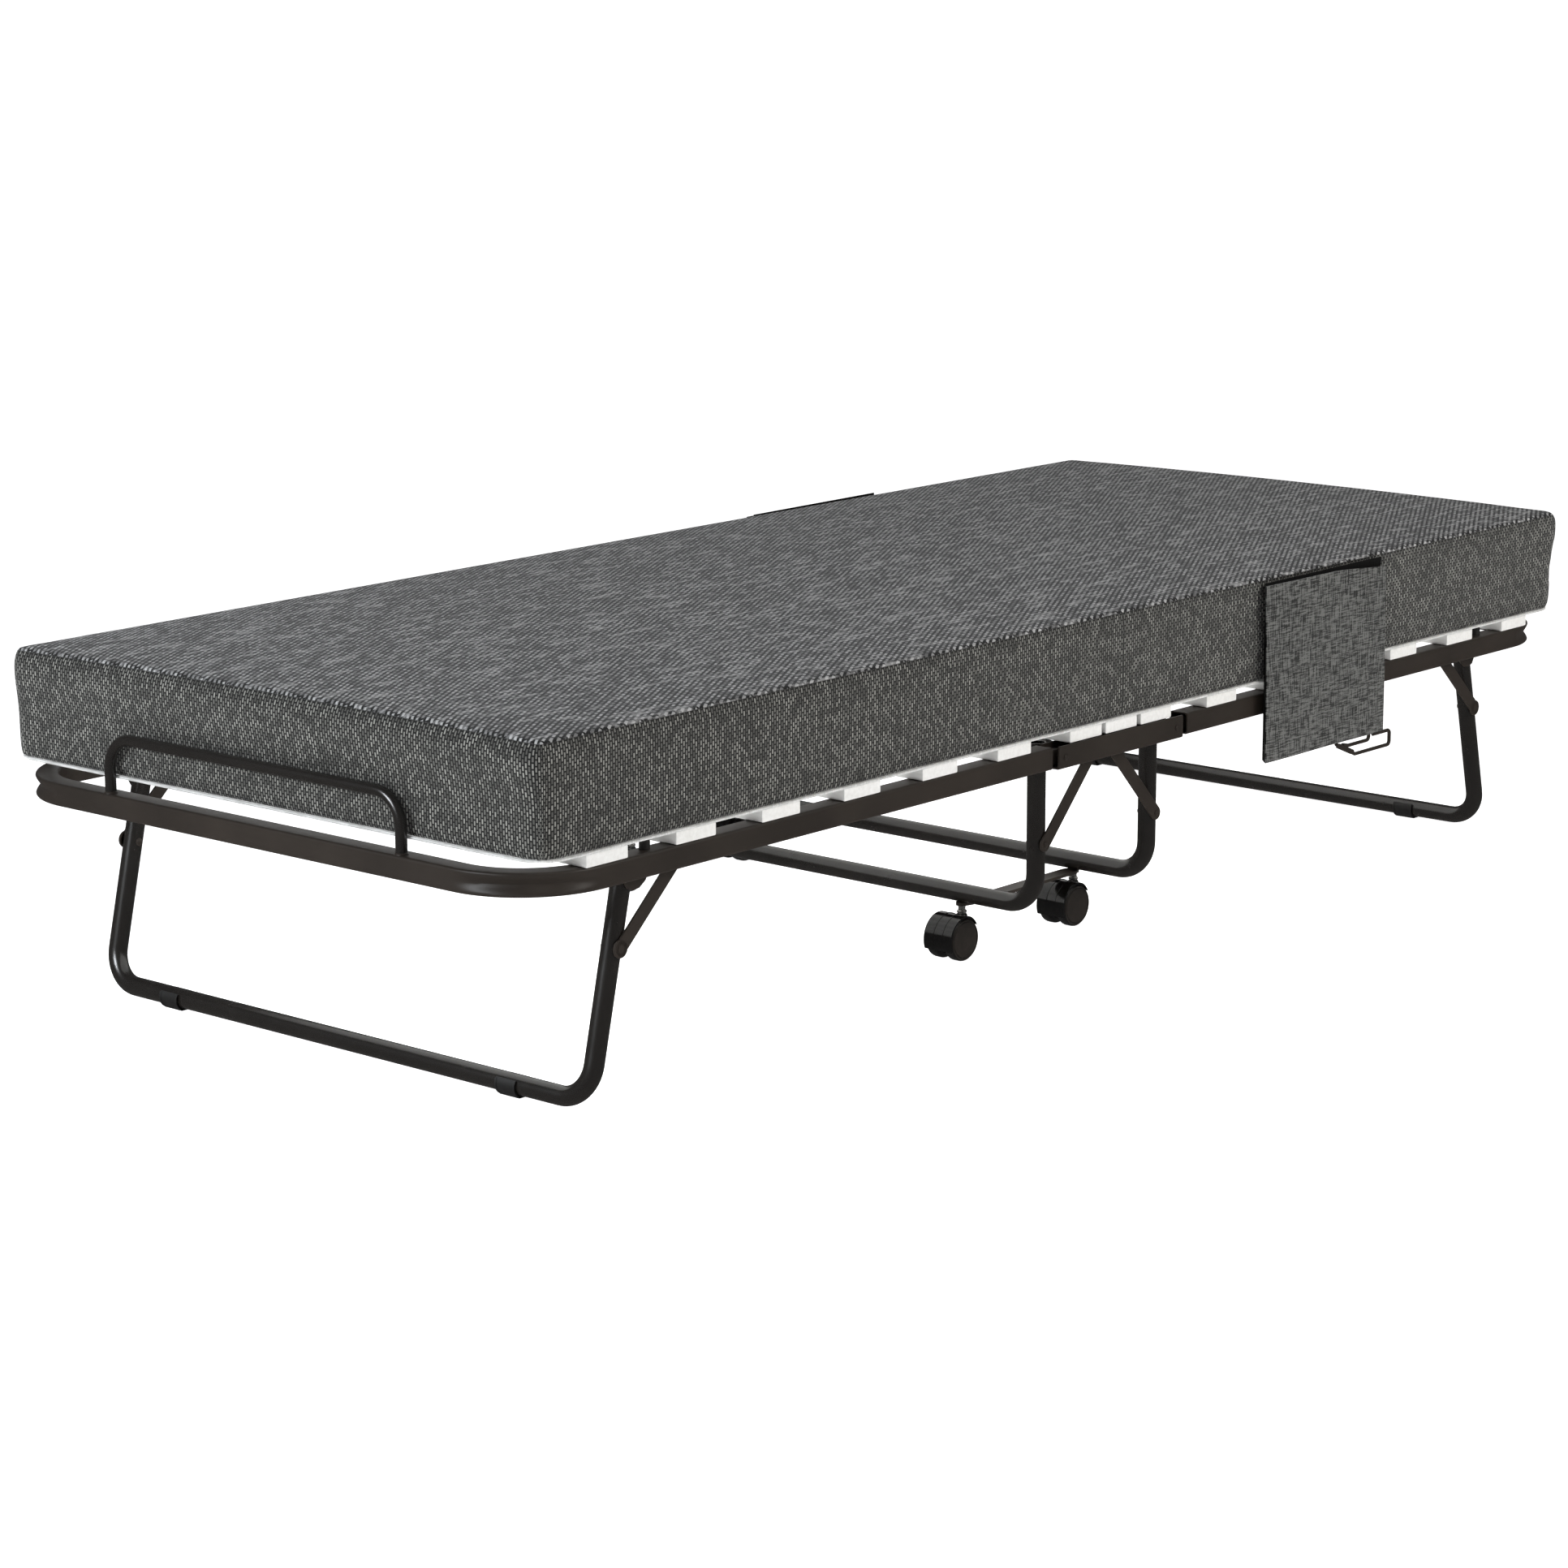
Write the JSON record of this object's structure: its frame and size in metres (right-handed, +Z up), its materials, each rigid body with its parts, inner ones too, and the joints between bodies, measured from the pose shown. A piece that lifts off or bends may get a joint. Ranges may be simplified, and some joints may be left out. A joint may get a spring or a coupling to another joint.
{
  "type": "rollaway bed",
  "caption": "Folding guest bed on a black steel tube frame with white slats, charcoal mattress, side pockets, splayed folding end legs and casters under the hinged middle.",
  "frame": {"origin": "on the floor under the middle of the bed", "axes": "+X from the foot end to the head end along the bed, +Y across it towards the far side, +Z up"},
  "size_m": [1.9, 0.834, 0.403],
  "materials": {
    "frame_steel": "satin",
    "slats": "satin",
    "caster_plastic": "gloss",
    "foot_plastic": "matte",
    "mattress_cloth": "matte",
    "pocket_cloth": "matte"
  },
  "bodies": {
    "base": {"channel_near": "frame_steel", "channel_far": "frame_steel", "center_leg_foot": "frame_steel", "center_leg_head": "frame_steel", "center_brace_foot_near": "frame_steel", "center_brace_foot_far": "frame_steel", "center_brace_head_near": "frame_steel", "center_brace_head_far": "frame_steel", "caster_strip_near": "frame_steel", "caster_strip_far": "frame_steel", "slat_middle_1": "slats", "slat_middle_2": "slats", "slat_middle_3": "slats", "mattress_middle": "mattress_cloth"},
    "foot_section": {"rail_foot": "frame_steel", "slat_foot_1": "slats", "slat_foot_2": "slats", "slat_foot_3": "slats", "slat_foot_4": "slats", "slat_foot_5": "slats", "slat_foot_6": "slats", "leg_bracket_foot_near": "frame_steel", "leg_bracket_foot_far": "frame_steel", "hoop_foot": "frame_steel", "mattress_foot": "mattress_cloth"},
    "head_section": {"rail_head": "frame_steel", "slat_head_1": "slats", "slat_head_2": "slats", "slat_head_3": "slats", "slat_head_4": "slats", "slat_head_5": "slats", "slat_head_6": "slats", "leg_bracket_head_near": "frame_steel", "leg_bracket_head_far": "frame_steel", "hoop_head": "frame_steel", "mattress_head": "mattress_cloth", "pocket_near": "pocket_cloth", "pocket_far": "pocket_cloth", "pocket_wire_near": "frame_steel", "pocket_wire_far": "frame_steel"},
    "foot_leg": {"leg_foot": "frame_steel", "foot_clip_foot_near": "foot_plastic", "foot_clip_foot_far": "foot_plastic"},
    "foot_leg_braces": {"leg_brace_foot_near": "frame_steel", "leg_brace_foot_far": "frame_steel"},
    "head_leg": {"leg_head": "frame_steel", "foot_clip_head_near": "foot_plastic", "foot_clip_head_far": "foot_plastic"},
    "head_leg_braces": {"leg_brace_head_near": "frame_steel", "leg_brace_head_far": "frame_steel"},
    "caster_foot_near": {"caster_hood_foot_near": "caster_plastic"},
    "wheels_foot_near": {"caster_wheels_foot_near": "caster_plastic"},
    "caster_foot_far": {"caster_hood_foot_far": "caster_plastic"},
    "wheels_foot_far": {"caster_wheels_foot_far": "caster_plastic"},
    "caster_head_near": {"caster_hood_head_near": "caster_plastic"},
    "wheels_head_near": {"caster_wheels_head_near": "caster_plastic"},
    "caster_head_far": {"caster_hood_head_far": "caster_plastic"},
    "wheels_head_far": {"caster_wheels_head_far": "caster_plastic"}
  },
  "joints": [
    {"name": "foot_fold", "type": "hinge", "parent": "base", "child": "foot_section", "pos_m": [-0.105, 0, 0.25], "axis": [0, 1, 0], "range_deg": [0, 78], "deforming": ["mattress_foot", "mattress_middle"]},
    {"name": "head_fold", "type": "hinge", "parent": "base", "child": "head_section", "pos_m": [0.105, 0, 0.25], "axis": [0, -1, 0], "range_deg": [0, 78], "deforming": ["mattress_head", "mattress_middle"]},
    {"name": "foot_leg_fold", "type": "hinge", "parent": "foot_section", "child": "foot_leg", "pos_m": [-0.7765, 0, 0.247], "axis": [0, -1, 0], "range_deg": [0, 103]},
    {"name": "head_leg_fold", "type": "hinge", "parent": "head_section", "child": "head_leg", "pos_m": [0.7765, 0, 0.247], "axis": [0, 1, 0], "range_deg": [0, 103]},
    {"name": "foot_leg_brace_swing", "type": "hinge", "parent": "foot_leg", "child": "foot_leg_braces", "pos_m": [-0.79544, 0, 0.16496], "axis": [0, 1, 0], "range_deg": [0, 145]},
    {"name": "head_leg_brace_swing", "type": "hinge", "parent": "head_leg", "child": "head_leg_braces", "pos_m": [0.79544, 0, 0.16496], "axis": [0, -1, 0], "range_deg": [0, 145]},
    {"name": "caster_swivel_foot_near", "type": "hinge", "parent": "base", "child": "caster_foot_near", "pos_m": [-0.105, -0.2565, 0.03], "axis": [0, 0, 1], "continuous": true},
    {"name": "wheel_spin_foot_near", "type": "hinge", "parent": "caster_foot_near", "child": "wheels_foot_near", "pos_m": [-0.1225, -0.2565, 0.0247], "axis": [0, 1, 0], "continuous": true},
    {"name": "caster_swivel_foot_far", "type": "hinge", "parent": "base", "child": "caster_foot_far", "pos_m": [-0.105, 0.2565, 0.03], "axis": [0, 0, 1], "continuous": true},
    {"name": "wheel_spin_foot_far", "type": "hinge", "parent": "caster_foot_far", "child": "wheels_foot_far", "pos_m": [-0.1225, 0.2565, 0.0247], "axis": [0, 1, 0], "continuous": true},
    {"name": "caster_swivel_head_near", "type": "hinge", "parent": "base", "child": "caster_head_near", "pos_m": [0.105, -0.2565, 0.03], "axis": [0, 0, 1], "continuous": true},
    {"name": "wheel_spin_head_near", "type": "hinge", "parent": "caster_head_near", "child": "wheels_head_near", "pos_m": [0.0875, -0.2565, 0.0247], "axis": [0, 1, 0], "continuous": true},
    {"name": "caster_swivel_head_far", "type": "hinge", "parent": "base", "child": "caster_head_far", "pos_m": [0.105, 0.2565, 0.03], "axis": [0, 0, 1], "continuous": true},
    {"name": "wheel_spin_head_far", "type": "hinge", "parent": "caster_head_far", "child": "wheels_head_far", "pos_m": [0.0875, 0.2565, 0.0247], "axis": [0, 1, 0], "continuous": true}
  ],
  "couplings": [
    {"joint": "foot_leg_brace_swing", "follows": "foot_leg_fold", "ratio": 1.394},
    {"joint": "head_leg_brace_swing", "follows": "head_leg_fold", "ratio": 1.394}
  ]
}
